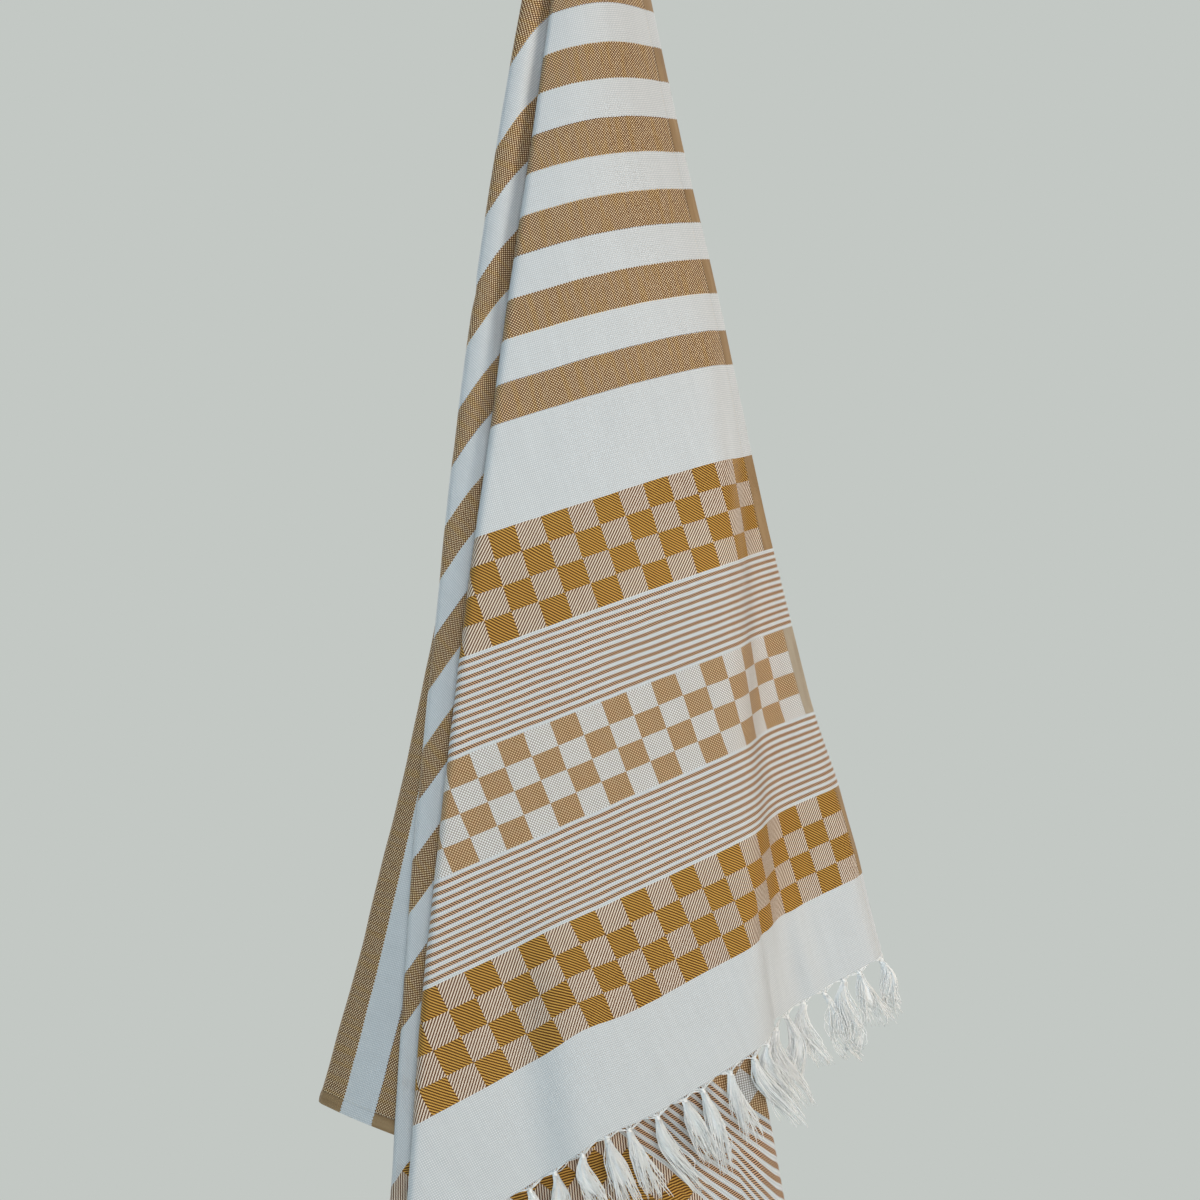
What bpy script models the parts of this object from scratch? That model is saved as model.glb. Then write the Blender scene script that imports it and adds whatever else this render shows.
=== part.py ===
"""Flat-woven bath towel hanging from one point in the middle of its long edge.

Metres throughout. The origin is the point the towel hangs from, +X is to the right,
+Y goes back towards the wall and +Z is up.

The cloth is described in its own flat measures: a spot on it is a distance from the hang
point (its radius) and an angle (0 along the front half of the upper hem, 90 straight
across the towel, 180 along the back half of the hem). Threads that run straight away from
the hang point stay straight when the towel is let down, so every fold is a line that
leans a little to the left or right and lies a little in front or behind.
"""

import math

import bpy

# Flat sizes of the towel.
WIDTH = 0.941
HALF_LENGTH = 0.905
THICKNESS = 0.0012

# The tassels knotted along both ends.
TASSEL_PITCH = 0.020
TASSEL_GAP = 0.0035
TASSEL_LENGTH = 0.050
TASSEL_TAPER = 0.62
TASSEL_SHORTER = 0.10
TASSEL_VARIATION = 2.4
KNOT_BAND = 0.009
SEAM_GAP = 0.0010
BEND_REACH = 0.0015
# The column at the far corner of the back end may lie this many degrees before the corner.
CORNER_SLACK = 1.0

# Where the mesh starts below the hang point, and the radii the tables below refer to.
TOP_RADIUS = 0.030
DRAWN_UP = 0.8
DRAWN_UP_OVER = 0.15
STATIONS = (0.25, 0.60, 1.00)

# Mesh counts.
FRONT_COLUMNS = 10
ROLL_COLUMNS = 3
LEG_COLUMNS = 3
TURN_COLUMNS = 2
ROWS = 17
GRID_PASSES = 8

# Front panel, value at each station: cloth angle of its left fold, sideways lean
# (sine of the angle from straight down), depth in mm and how far the cloth reaches
# compared with its flat radius.
FRONT_FOLD_ANGLE = (22.1, 23.1, 25.8)
FRONT_FOLD_LEAN = (-0.115, -0.128, -0.115)
FRONT_EDGE_LEAN = (0.199, 0.2090, 0.230)
FRONT_FOLD_DEPTH = (-50.0, -50.0, -52.0)
FRONT_EDGE_DEPTH = (8.0, -30.0, -28.0)
FRONT_BULGE = (21.0, 4.0, 3.0)
FOLD_REACH = (1.020, 1.017, 1.041)
EDGE_REACH = (1.018, 0.993, 0.953)
FRONT_BOW = (0.10, 0.09, 0.31)

# Its left fold: radius of the broad roll into it, and of the tight turn behind.
FRONT_ROLL = 0.009
FRONT_TURN = 0.0026

# The step in the front panel where it slips off the right side of the bunch.
STEP_START = 0.30
STEP_FULL = 0.62
STEP_ANGLE_AT_600 = 3.5
STEP_ANGLE_PER_METRE = 15.5
STEP_HALF_WIDTH = 1.6
STEP_LEAN = 0.027
STEP_DEPTH = 30.0

# Low down, the front hem curls back out of sight.
CURL_START = 0.70
CURL_FULL = 0.78
CURL_WIDTH = 0.020
CURL_RADIUS = 0.017
CURL_LEAN = 0.0125

# The folds behind the front panel, in the order the cloth runs through them:
# side of the bunch, cloth angle at the stations, lean at the stations, place in the
# stack in mm (front to back), half the height of the turn in mm.
FOLDS = (
    ("right", (48.0, 43.5, 41.0), (0.085, 0.105, 0.127), -39.5, 2.6),
    ("left", (80.0, 64.9, 57.0), (-0.197, -0.162, -0.127), -33.0, 3.0),
    ("right", (84.0, 76.0, 73.5), (0.010, 0.066, 0.094), -27.0, 2.8),
    ("left", (90.2, 90.3, 90.6), (-0.152, -0.160, -0.197), -19.0, 3.2),
    ("right", (102.0, 103.0, 103.5), (0.060, 0.080, 0.088), -12.0, 2.8),
    ("left", (115.0, 116.0, 116.5), (-0.120, -0.132, -0.112), -5.0, 3.0),
    ("right", (128.0, 129.0, 128.0), (0.070, 0.094, 0.070), 2.0, 3.0),
    ("left", (141.0, 143.0, 146.0), (-0.110, -0.120, -0.132), 8.0, 2.8),
    ("right", (155.0, 155.5, 157.0), (0.060, 0.070, 0.084), 15.0, 3.0),
    ("left", (168.0, 168.0, 169.0), (-0.100, -0.108, -0.098), 22.0, 3.0),
)
BACK_EDGE_LEAN = (0.055, 0.062, 0.060)
BACK_EDGE_PLACE = 29.0

# The whole stack lies further back on its right side: mm per unit of lean, and the
# lean at which a fold lies just at its place in the stack.
STACK_SLANT = 60.0
STACK_LEAN = -0.12

# Past the front panel's fold the left tail steps forward, then swings back more and more.
TAIL_SWING = 0.40
TAIL_CURVE = 2.8
TAIL_DROP = 0.03
TAIL_STEP = 0.008
TAIL_STEP_WIDTH = 0.004
TAIL_STEP_START = 0.10
TAIL_STEP_FULL = 0.25
# A column of the mesh follows that step: this far past the fold, within these shares
# of a run that ends on the left, or of one that starts there.
TAIL_COLUMN = 0.006
SHARES_TO_LEFT = (0.55, 0.93)
SHARES_FROM_LEFT = (0.07, 0.45)


def ease(value):
    """Smooth 0 to 1 step."""
    value = min(1.0, max(0.0, value))
    return value * value * (3.0 - 2.0 * value)


def at_radius(values, radius):
    """Smooth curve through the three station values."""
    a, b, c = STATIONS
    r = min(1.12, max(0.20, radius))
    return (values[0] * (r - b) * (r - c) / ((a - b) * (a - c))
            + values[1] * (r - a) * (r - c) / ((b - a) * (b - c))
            + values[2] * (r - a) * (r - b) / ((c - a) * (c - b)))


def depth_scale(radius):
    """The bunch is thinner near the hang point and opens out in the tails."""
    return 0.36 + 0.64 * ease(radius / 0.45) + 0.30 * ease((radius - 0.95) / 0.40)


def edge_radius(angle):
    """Distance from the hang point to the rim of the flat towel."""
    c = abs(math.cos(math.radians(angle)))
    s = math.sin(math.radians(angle))
    along = HALF_LENGTH / max(c, 1e-9)
    across = WIDTH / max(s, 1e-9)
    return min(along, across)


def front_leg(radius, q):
    """Front panel at one radius, q from 0 at its hem to 1 at its left fold."""
    scale = depth_scale(radius)
    roll = FRONT_ROLL * scale
    fold_angle = at_radius(FRONT_FOLD_ANGLE, radius)
    fold_angle -= math.degrees(0.5 * math.pi * roll / radius)
    angle = q * fold_angle
    reach = radius * (at_radius(EDGE_REACH, radius) * (1.0 - q) + at_radius(FOLD_REACH, radius) * q)
    strength = ease((radius - STEP_START) / (STEP_FULL - STEP_START))
    centre = STEP_ANGLE_AT_600 + STEP_ANGLE_PER_METRE * (radius - 0.600)
    past = 0.5 + 0.5 * math.tanh((angle - centre) / STEP_HALF_WIDTH)
    edge_lean = at_radius(FRONT_EDGE_LEAN, radius)
    fold_lean = at_radius(FRONT_FOLD_LEAN, radius) + roll / reach
    bow = at_radius(FRONT_BOW, radius)
    lean = edge_lean + (fold_lean - edge_lean) * (q - bow * q * (1.0 - q))
    lean += strength * STEP_LEAN * (past - q)
    depth = at_radius(FRONT_EDGE_DEPTH, radius) * (1.0 - q)
    depth += at_radius(FRONT_FOLD_DEPTH, radius) * q
    depth -= 4.0 * at_radius(FRONT_BULGE, radius) * q * (1.0 - q)
    depth += strength * STEP_DEPTH * (1.0 - past)
    curl = ease((radius - CURL_START) / (CURL_FULL - CURL_START))
    over = max(0.0, CURL_WIDTH - radius * math.radians(angle))
    bend = over / CURL_RADIUS
    lean += curl * CURL_LEAN * (1.0 - q) ** 2
    x = lean * reach - curl * (over - CURL_RADIUS * math.sin(bend))
    y = 0.001 * depth * scale - roll * q + curl * CURL_RADIUS * (1.0 - math.cos(bend))
    return angle, reach, x, y


def front_roll(radius):
    """The front panel's left side, rolled back to its fold."""
    roll = FRONT_ROLL * depth_scale(radius)
    angle, x, y, _, side = fold_lines(radius)[0]
    points = []
    for i in range(1, ROLL_COLUMNS + 1):
        share = i / ROLL_COLUMNS
        bend = 0.5 * math.pi * share
        here = angle - math.degrees(0.5 * math.pi * roll / radius) * (1.0 - share)
        points.append((here, radius * at_radius(FOLD_REACH, radius),
                       x - side * roll * (1.0 - math.sin(bend)), y - roll * math.cos(bend)))
    return points


def fold_lines(radius):
    """Every fold and the back hem at one radius: angle, x, y, half turn, side."""
    scale = depth_scale(radius)
    reach = radius * at_radius(FOLD_REACH, radius)
    lines = [(at_radius(FRONT_FOLD_ANGLE, radius), front_fold_x(radius),
              0.001 * at_radius(FRONT_FOLD_DEPTH, radius) * scale, FRONT_TURN * scale, -1.0)]
    for side, angles, leans, place, turn in FOLDS:
        lean = at_radius(leans, radius)
        depth = place + STACK_SLANT * (lean - STACK_LEAN)
        lines.append((at_radius(angles, radius), lean * reach, 0.001 * depth * scale,
                      0.001 * turn * scale, 1.0 if side == "right" else -1.0))
    lean = at_radius(BACK_EDGE_LEAN, radius)
    depth = BACK_EDGE_PLACE + STACK_SLANT * (lean - STACK_LEAN)
    lines.append((180.0, lean * reach, 0.001 * depth * scale, 0.0, 1.0))
    return lines


def hang(reach, x, y):
    """Point at the given distance below the hang point; the pinched tip is drawn up to it."""
    drawn_up = DRAWN_UP * TOP_RADIUS * (1.0 - ease((reach - TOP_RADIUS) / DRAWN_UP_OVER))
    return (x, y, drawn_up - math.sqrt(max(reach * reach - x * x - y * y, 1e-8)))


def front_fold_x(radius):
    """Where the front panel's fold lies, left of the hang point."""
    return at_radius(FRONT_FOLD_LEAN, radius) * radius * at_radius(FOLD_REACH, radius)


def tail_room(radius, x):
    """How far a spot lies to the left of the front panel's fold."""
    return max(0.0, front_fold_x(radius) - x)


def tail_length(room):
    """How much longer the swung-back cloth is than its width seen from the front."""
    return room * (math.hypot(1.0, TAIL_SWING + TAIL_CURVE * room) - 1.0)


def tail_out(radius):
    """0 to 1: how far the tail has come out past the front panel's fold."""
    return ease((radius - TAIL_STEP_START) / (TAIL_STEP_FULL - TAIL_STEP_START))


def swung(radius, x, y):
    """Reach, x and y of a spot behind the front panel, once the tail has swung."""
    room = tail_room(radius, x)
    step = TAIL_STEP * tail_out(radius)
    y += TAIL_SWING * room + TAIL_CURVE * room * room
    y -= step * (1.0 - math.exp(-(room / TAIL_STEP_WIDTH) ** 2))
    return radius * at_radius(FOLD_REACH, radius) * (1.0 + TAIL_DROP * room), x, y


def leg_steps(radius, start_x, end_x, corner):
    """Shares of a flat run that get a column: even, one at the tail, one at a corner."""
    steps = [i / LEG_COLUMNS for i in range(1, LEG_COLUMNS + 1)]
    tail = (front_fold_x(radius) - TAIL_COLUMN - start_x) / (end_x - start_x)
    out = tail_out(radius)
    if end_x < start_x:
        low, high = SHARES_TO_LEFT
        steps[1] += out * (min(high, max(low, tail)) - steps[1])
    else:
        low, high = SHARES_FROM_LEFT
        steps[0] += out * (min(high, max(low, tail)) - steps[0])
    if corner is not None:
        steps[0 if corner < 0.5 else 1] = corner
    return steps


def section(radius, corner_shares):
    """One trip through all the folds at a radius: a list of (angle, reach, x, y)."""
    points = [front_leg(radius, i / FRONT_COLUMNS) for i in range(FRONT_COLUMNS + 1)]
    points += front_roll(radius)
    lines = fold_lines(radius)
    for index in range(len(lines) - 1):
        angle_a, xa, ya, turn_a, side_a = lines[index]
        angle_b, xb, yb, turn_b, side_b = lines[index + 1]
        start_x, start_y = xa - side_a * turn_a, ya + turn_a
        end_x, end_y = xb - side_b * turn_b, yb - turn_b
        arc_a = 0.5 * math.pi * turn_a
        arc_b = 0.5 * math.pi * turn_b
        run = math.hypot(end_x - start_x, end_y - start_y)
        extra_start = tail_length(tail_room(radius, start_x))
        extra_end = tail_length(tail_room(radius, end_x))
        whole = arc_a + run + abs(extra_end - extra_start) + arc_b
        path = []
        for i in range(1, TURN_COLUMNS + 1):
            share = i / TURN_COLUMNS
            bend = 0.5 * math.pi * share
            path.append((arc_a * share, xa - side_a * turn_a * (1.0 - math.cos(bend)),
                         ya + turn_a * math.sin(bend)))
        for share in leg_steps(radius, start_x, end_x, corner_shares.get(index)):
            x = start_x + (end_x - start_x) * share
            y = start_y + (end_y - start_y) * share
            extra = tail_length(tail_room(radius, x))
            path.append((arc_a + run * share + abs(extra - extra_start), x, y))
        if turn_b > 0.0:
            for i in range(1, TURN_COLUMNS + 1):
                share = i / TURN_COLUMNS
                bend = 0.5 * math.pi * share
                path.append((whole - arc_b * (1.0 - share),
                             xb - side_b * turn_b * (1.0 - math.sin(bend)),
                             yb - turn_b * math.cos(bend)))
        for length, x, y in path:
            angle = angle_a + (angle_b - angle_a) * length / whole
            points.append((angle, *swung(radius, x, y)))
    return points


def corner_places():
    """Panel, and share of its flat run, where each far corner of the towel comes."""
    front_corner = math.degrees(math.atan2(WIDTH, HALF_LENGTH))
    places = {}
    for corner in (front_corner, 180.0 - front_corner):
        lines = fold_lines(math.hypot(WIDTH, HALF_LENGTH))
        for index in range(len(lines) - 1):
            low, xa, ya, turn_a, side_a = lines[index]
            high, xb, yb, turn_b, side_b = lines[index + 1]
            if low < corner <= high:
                run = math.hypot(xb - side_b * turn_b - xa + side_a * turn_a,
                                 yb - turn_b - ya - turn_a)
                arc_a = 0.5 * math.pi * turn_a
                whole = arc_a + run + 0.5 * math.pi * turn_b
                places[index] = ((corner - low) / (high - low) * whole - arc_a) / run
    return places


def towel_grid():
    """Rows of (angle, radius, point) from the hang point down to the rim."""
    corners = corner_places()
    count = len(section(0.5, corners))
    grid = []
    for row in range(ROWS + 1):
        t = row / ROWS
        radii = [TOP_RADIUS + (HALF_LENGTH - TOP_RADIUS) * t] * count
        for _ in range(GRID_PASSES):
            cache = {}
            angles = []
            for column in range(count):
                key = round(radii[column], 7)
                if key not in cache:
                    cache[key] = section(radii[column], corners)
                angles.append(cache[key][column][0])
            radii = [TOP_RADIUS + (edge_radius(a) - TOP_RADIUS) * t for a in angles]
        line = []
        for column in range(count):
            angle, reach, x, y = section(radii[column], corners)[column]
            line.append((angle, radii[column], hang(reach, x, y)))
        grid.append(line)
    return grid


def grid_mesh(name, grid):
    """One sheet of four-sided faces through the grid."""
    vertices = [spot[2] for line in grid for spot in line]
    wide = len(grid[0])
    faces = []
    for row in range(len(grid) - 1):
        for column in range(wide - 1):
            a = row * wide + column
            faces.append((a, a + 1, a + wide + 1, a + wide))
    mesh = bpy.data.meshes.new(name)
    mesh.from_pydata(vertices, [], faces)
    mesh.update()
    return mesh


def comb_mesh(name, grid, columns):
    """Tassels along one end: a knotted band with teeth below it, as one sheet."""
    edge = []
    for column in columns:
        angle, radius, _ = grid[-1][column]
        across = abs(HALF_LENGTH * math.tan(math.radians(angle)))
        below = []
        for extra in (SEAM_GAP / abs(math.cos(math.radians(angle))), KNOT_BAND, TASSEL_LENGTH):
            here = radius + extra
            top = grid[-1][column][2]
            stretch = here / radius
            below.append((top[0] * stretch, top[1], top[2] * stretch))
        edge.append((across, below))
    edge.sort(key=lambda item: item[0])
    total = min(WIDTH, edge[-1][0])
    teeth = int(total / TASSEL_PITCH)
    pitch = total / teeth
    bends = [across for across, _ in edge[1:-1]]
    cuts = []
    for tooth in range(teeth):
        for side, kind in ((0.5 * TASSEL_GAP, "open"), (pitch - 0.5 * TASSEL_GAP, "shut")):
            across = tooth * pitch + side
            nearest = min(bends, key=lambda bend: abs(bend - across))
            if abs(nearest - across) < BEND_REACH:
                bends.remove(nearest)
                across = nearest
            cuts.append((across, kind, tooth))
    cuts += [(across, "bend", None) for across in bends]
    kept = sorted(cuts, key=lambda item: item[0])
    vertices = []
    faces = []

    def along(across, level):
        """Point of one level of the comb, on the straight run between two columns."""
        for (ua, pa), (ub, pb) in zip(edge, edge[1:]):
            if across <= ub or (ub, pb) == edge[-1]:
                f = min(1.0, max(0.0, (across - ua) / max(ub - ua, 1e-9)))
                return tuple(pa[level][k] + (pb[level][k] - pa[level][k]) * f for k in range(3))

    inside = None
    previous = None
    for across, kind, tooth in kept:
        if kind == "open":
            inside = tooth
        top = len(vertices)
        vertices.append(along(across, 0))
        vertices.append(along(across, 1))
        tip = None
        if inside is not None:
            middle = (inside + 0.5) * pitch
            near = middle + (across - middle) * TASSEL_TAPER
            shorter = TASSEL_SHORTER * (1.0 + math.sin(inside * TASSEL_VARIATION))
            low = along(near, 2)
            high = along(near, 1)
            tip = len(vertices)
            vertices.append(tuple(low[k] + (high[k] - low[k]) * shorter for k in range(3)))
        if previous is not None:
            last_top, last_tip = previous
            faces.append((last_top, top, top + 1, last_top + 1))
            if last_tip is not None and tip is not None and kind != "open":
                faces.append((last_top + 1, top + 1, tip, last_tip))
        if kind == "shut":
            inside = None
            previous = (top, None)
        else:
            previous = (top, tip)
    mesh = bpy.data.meshes.new(name)
    mesh.from_pydata(vertices, [], faces)
    mesh.update()
    return mesh


def plain_material(name, colour):
    """Matt woven cotton."""
    material = bpy.data.materials.new(name)
    material.use_nodes = True
    shader = material.node_tree.nodes["Principled BSDF"]
    shader.inputs["Base Color"].default_value = (*colour, 1.0)
    shader.inputs["Roughness"].default_value = 0.9
    return material


def add_sheet(collection, name, mesh, thickness, colour):
    """Put a sheet in the scene, give it thickness and make it solid."""
    node = bpy.data.objects.new(name, mesh)
    collection.objects.link(node)
    node.data.materials.append(plain_material(name + "_cotton", colour))
    solid = node.modifiers.new("thickness", "SOLIDIFY")
    solid.thickness = thickness
    solid.offset = 0.0
    solid.use_rim = True
    bpy.context.view_layer.objects.active = node
    node.select_set(True)
    bpy.ops.object.modifier_apply(modifier=solid.name)
    node.select_set(False)
    return node


def main():
    for old in list(bpy.data.objects):
        bpy.data.objects.remove(old, do_unlink=True)
    collection = bpy.data.collections.new("bath_towel")
    bpy.context.scene.collection.children.link(collection)

    grid = towel_grid()
    add_sheet(collection, "towel_cloth", grid_mesh("towel_cloth", grid), THICKNESS,
              (0.62, 0.52, 0.40))

    corner = math.degrees(math.atan2(WIDTH, HALF_LENGTH))
    last = grid[-1]
    front = [c for c in range(len(last)) if last[c][0] <= corner + 1e-4]
    back = [c for c in range(len(last)) if last[c][0] >= 180.0 - corner - CORNER_SLACK]
    add_sheet(collection, "fringe_front", comb_mesh("fringe_front", grid, front), THICKNESS,
              (0.80, 0.79, 0.75))
    add_sheet(collection, "fringe_back", comb_mesh("fringe_back", grid, back), THICKNESS,
              (0.80, 0.79, 0.75))


main()
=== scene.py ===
"""Looks of a flat-woven bath towel that hangs from one point in the middle of its long edge.

Metres, +X right, +Y back towards the wall, +Z up, origin at the hang point. The cloth is
described in its own flat measures: "across" is the distance from the hung selvedge and
"along" the distance from the middle of the towel, negative on its back half. A spot's angle
about the hang point runs from 0 on the front half of the hung selvedge to 180 on the back
half, and its radius is its flat distance from the hang point. Its reach is its straight
distance from the hang point when the towel hangs.
"""

import math
from types import SimpleNamespace

import bpy
import numpy as np
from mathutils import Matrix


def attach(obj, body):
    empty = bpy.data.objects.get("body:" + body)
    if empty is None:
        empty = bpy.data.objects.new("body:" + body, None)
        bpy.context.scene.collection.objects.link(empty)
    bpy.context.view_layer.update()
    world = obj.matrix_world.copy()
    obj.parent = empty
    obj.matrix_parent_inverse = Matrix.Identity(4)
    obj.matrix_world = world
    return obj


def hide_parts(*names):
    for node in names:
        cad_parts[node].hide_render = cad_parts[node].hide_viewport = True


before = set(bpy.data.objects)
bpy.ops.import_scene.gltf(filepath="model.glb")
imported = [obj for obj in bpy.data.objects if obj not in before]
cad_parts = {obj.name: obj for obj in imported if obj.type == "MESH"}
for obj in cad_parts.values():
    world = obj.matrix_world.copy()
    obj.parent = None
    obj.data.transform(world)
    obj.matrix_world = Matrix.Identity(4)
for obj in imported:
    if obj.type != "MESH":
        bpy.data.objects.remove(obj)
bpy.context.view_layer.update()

# ---------------------------------------------------------------- flat sizes (as the CAD)
WIDTH = 0.941
HALF_LENGTH = 0.905
HEM = 0.008
TOP_RADIUS = 0.030
# The radii that the tables of three values refer to, and how far their curves are followed
STATIONS = (0.25, 0.60, 1.00)
LEAST_RADIUS = 0.20
GREATEST_RADIUS = 1.12

# ---------------------------------------------------------------- hanging shape (close to the CAD)
# A lean is a distance to the right for each metre of reach, a depth is in mm towards the wall,
# a reach is a share of the radius and an angle is in degrees.
# The cloth is drawn together and up at the hang point
TOP_DRAWN_UP = 0.024
TOP_DRAWN_OVER = 0.15
# The bunch's depth: its share at the top, the radius where it is full, how its tails open out
TOP_DEPTH_SHARE = 0.36
FULL_DEPTH_RADIUS = 0.45
TAILS_OPEN = 0.30
TAILS_OPEN_START = 0.95
TAILS_OPEN_FULL = 1.35
# The front panel, from its hem at the right to its fold at the left
FRONT_FOLD_ANGLE = (22.1, 23.1, 25.8)
FRONT_FOLD_LEAN = (-0.115, -0.128, -0.115)
FRONT_EDGE_LEAN = (0.199, 0.209, 0.230)
FRONT_FOLD_DEPTH = (-50.0, -50.0, -52.0)
FRONT_EDGE_DEPTH = (8.0, -30.0, -28.0)
FRONT_BULGE = (21.0, 4.0, 3.0)
FOLD_REACH = (1.020, 1.017, 1.041)
EDGE_REACH = (1.018, 0.993, 0.956)
FRONT_BOW = (0.10, 0.09, 0.31)
FRONT_ROLL = 0.0055
FRONT_TURN = 0.0026
# A step runs down the front panel a little to the left of its hem. Its angle is the one at
# the middle station
STEP_START = 0.30
STEP_FULL = 0.62
STEP_ANGLE = 3.5
STEP_ANGLE_PER_METRE = 15.5
STEP_HALF_WIDTH = 1.6
STEP_LEAN = 0.027
STEP_DEPTH = 30.0
# Low down, a flute turns back a little to the right of the front fold
FLUTE_START = 0.78
FLUTE_FULL = 0.88
FLUTE_ANGLE = 19.6
FLUTE_HALF_WIDTH = 0.8
FLUTE_DEPTH = 15.0
FLUTE_RISE_FROM = 0.45
FLUTE_LIFT = 0.006
FLUTE_LIFT_WIDTH = 1.6
# Low down, the front hem curls back out of sight
CURL_START = 0.70
CURL_FULL = 0.78
CURL_WIDTH = 0.020
CURL_RADIUS = 0.017
CURL_LEAN = 0.0115
CURL_LEAN_LOST = 0.35
CURL_LOSS_START = 0.82
CURL_LOSS_FULL = 0.90
# The folds behind the front panel. Each row: side of the bunch, cloth angle at the stations,
# lean at the stations, place in the stack in mm (front to back), half height of the turn in mm
FOLDS = (
    ("right", (61.5, 43.5, 41.0), (0.085, 0.105, 0.127), -39.5, 2.6),
    ("left", (77.2, 64.2, 57.0), (-0.197, -0.162, -0.127), -33.0, 3.0),
    ("right", (84.0, 76.0, 73.5), (0.010, 0.066, 0.094), -27.0, 2.8),
    ("left", (90.2, 90.3, 90.6), (-0.152, -0.160, -0.197), -19.0, 3.2),
    ("right", (102.0, 103.0, 103.5), (0.060, 0.080, 0.088), -12.0, 2.8),
    ("left", (115.0, 116.0, 116.5), (-0.120, -0.132, -0.112), -5.0, 3.0),
    ("right", (128.0, 129.0, 128.0), (0.070, 0.094, 0.070), 2.0, 3.0),
    ("left", (141.0, 143.0, 146.0), (-0.110, -0.120, -0.132), 8.0, 2.8),
    ("right", (155.0, 155.5, 157.0), (0.060, 0.070, 0.084), 15.0, 3.0),
    ("left", (168.0, 168.0, 169.0), (-0.100, -0.108, -0.098), 22.0, 3.0),
)
# Below the last station the first of these folds comes round to the CAD's angle
FIRST_FOLD_BACK = 3.2
FIRST_FOLD_BACK_OVER = 0.12
# The hung selvedge's back half, which ends the stack
BACK_EDGE_LEAN = (0.055, 0.062, 0.060)
BACK_EDGE_PLACE = 29.0
# The whole stack lies further back on its right side: mm for each unit of lean, and the lean
# at which a fold lies just at its place in the stack
STACK_SLANT = 60.0
STACK_LEAN = -0.12
# Past the front panel's fold the left tail swings back, more and more
TAIL_SWING = 0.40
TAIL_CURVE = 2.8
TAIL_DROP = -0.04
# Just past that fold it stands forward by a step, which is smaller and narrower low down
TAIL_STEP = 0.012
TAIL_STEP_WIDTH = 0.007
TAIL_STEP_START = 0.10
TAIL_STEP_FULL = 0.22
TAIL_STEP_LOSS_START = 0.42
TAIL_STEP_LOSS_FULL = 0.64
TAIL_STEP_LOST = 0.50
TAIL_STEP_WIDTH_LOST = 0.43
LAST_PANEL = len(FOLDS)
# Close to the hang point a hem takes up no more than this, as the sine of its angle
FRONT_HEM_MOST = 0.12
BACK_HEM_MOST = 0.06

# ---------------------------------------------------------------- small unevenness of the cloth
# Soft ripples low in the layers behind the front panel, fading out just past its left fold
RIPPLE_START = 0.86
RIPPLE_FULL = 0.98
RIPPLE_ANGLES = (30.0, 40.0)
RIPPLE_ROOM = 0.010
RIPPLE_LENGTH = 0.036
RIPPLE_SLANT = 0.45
RIPPLE_RISE = 0.0028
RIPPLE_DEPTH = 0.0022
# Soft creases of the front panel and of the strip left of it. Each row: flat start, flat end,
# half width, depth towards the wall
CREASES = (
    ((0.118, 0.820), (0.124, 0.940), 0.007, 0.0032),
    ((0.074, 0.830), (0.079, 0.940), 0.007, -0.0028),
    ((0.389, 0.100), (0.389, 0.200), 0.006, 0.0011),
)
CREASE_FADE = 0.25
# Shallow waves all over. Each row: height in mm, then two sines that are multiplied, each with
# its radians for a metre across, radians for a metre along, and start
WAVES = (
    (0.45, (23.0, 9.0, 1.3), (-11.0, 17.0, 0.0)),
    (0.30, (61.0, -13.0, 0.7), (0.0, 29.0, 2.1)),
    (0.16, (118.0, 31.0, 0.0), (-40.0, 83.0, 0.4)),
)
WAVES_START = 0.15
WAVES_FULL = 0.65

# ---------------------------------------------------------------- mesh of the cloth
FRONT_COLUMNS = 64
RUN_COLUMNS = 10
# The panels that show beside and below the front one have more columns
SEEN_PANELS = (1, 3)
SEEN_RUN_COLUMNS = 24
TURN_COLUMNS = 3
ROLL_COLUMNS = 6
HEM_COLUMNS = 3
MAIN_ROWS = 168
# The radii of the grid are found in passes from a first guess
GRID_PASSES = 12
FIRST_RADIUS = 0.5
# The hems are thicker, but less so at their rim, and the tasselled ends thin out
HALF_THICK = 0.00045
HEM_HALF_THICK = 0.0009
HEM_RIM_SHARE = 0.6
END_TAPER = 0.006
END_THIN_SHARE = 0.25
# Flat distances that differ by less than this are the same
CLOSE = 1e-4
# How many rows the way down at a tasselled end is taken over
END_ROWS = 5
SHARP_DEGREES = 50.0
BAKE_MARGIN = 0.01

# ---------------------------------------------------------------- woven pattern, in mm
STRIPE_PERIOD = 50.0
STRIPE_HALF = 12.0
CELL = 18.5
CHECK_ROWS = 4
MUSTARD_ROW = 17.0
LIGHT_ROW = 16.0
FINE_BAND_WIDTH = 57.5
FINE_PITCH = 4.6
# Measured along from the middle of the towel: where the stripes end and where each band starts
LAST_STRIPE = 462.0
MUSTARD_BANDS = (526.0, 773.0)
LIGHT_BAND = 651.5
FINE_BANDS = (594.0, 715.5)
# Pitches of the weaves
TWILL = 2.33
BIRDSEYE = 2.05
ROPE = 1.75
BASKET = 2.1
THREAD = 1.17
PLAIN_THREAD = 1.3
# Depth of the teeth that the birdseye weave makes along a stripe's edge
TOOTH = 0.7
# How far the threads wander across and along, and how many times in a metre
WANDER_ACROSS = 1.6
WANDER_ALONG = 1.2
WANDER_SCALE = 26.0
# How far in from the hem's inner edge its groove and its row of stitches start and end
HEM_GROOVE = (-0.1, 0.7)
HEM_STITCHES = (0.7, 1.2)
STITCH = 3.2

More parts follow.
